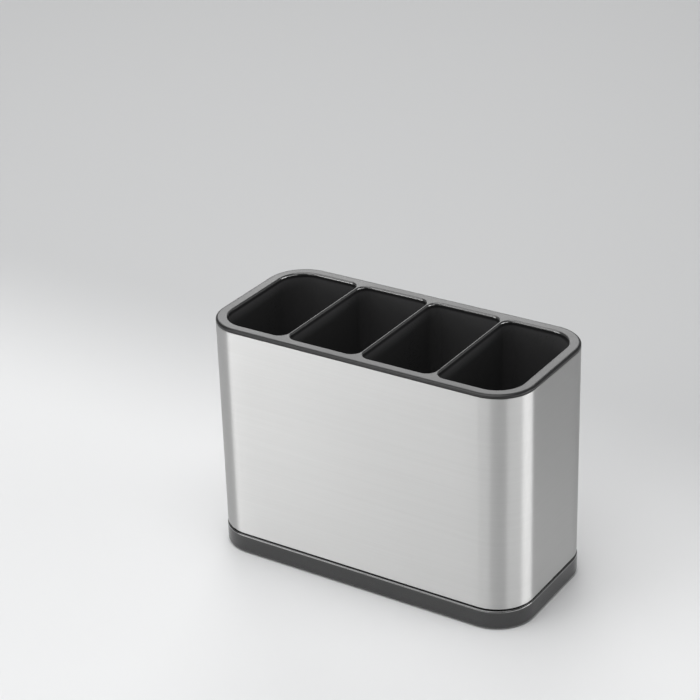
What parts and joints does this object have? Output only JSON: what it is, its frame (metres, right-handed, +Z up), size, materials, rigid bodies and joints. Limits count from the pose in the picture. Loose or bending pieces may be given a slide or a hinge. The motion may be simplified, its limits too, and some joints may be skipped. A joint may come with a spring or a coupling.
{
  "type": "cutlery holder",
  "caption": "Free-standing cutlery holder: brushed steel sleeve with rounded corners on a black drip tray, with a lift-out black insert divided into a row of drained compartments.",
  "frame": {"origin": "on the worktop, under the middle of the holder", "axes": "+Z up, +X along the row of compartments, +Y towards the back"},
  "size_m": [0.1666, 0.0776, 0.12],
  "materials": {
    "brushed_sleeve_steel": "fine horizontal brushing, satin",
    "insert_plastic": "semi-gloss black moulded polypropylene",
    "tray_plastic": "fine matte charcoal moulded polypropylene",
    "foot_rubber": "soft grey non-slip elastomer"
  },
  "bodies": {
    "tray": {"drip_tray": "tray_plastic", "foot_front_left": "foot_rubber", "foot_front_right": "foot_rubber", "foot_rear_left": "foot_rubber", "foot_rear_right": "foot_rubber"},
    "sleeve": {"steel_sleeve": "brushed_sleeve_steel"},
    "insert": {"compartment_insert": "insert_plastic"}
  },
  "joints": [
    {"name": "sleeve_lift", "type": "slide", "parent": "tray", "child": "sleeve", "axis": [0, 0, 1], "range_m": [0, 0.04]},
    {"name": "insert_lift", "type": "slide", "parent": "sleeve", "child": "insert", "axis": [0, 0, 1], "range_m": [0, 0.1]}
  ]
}
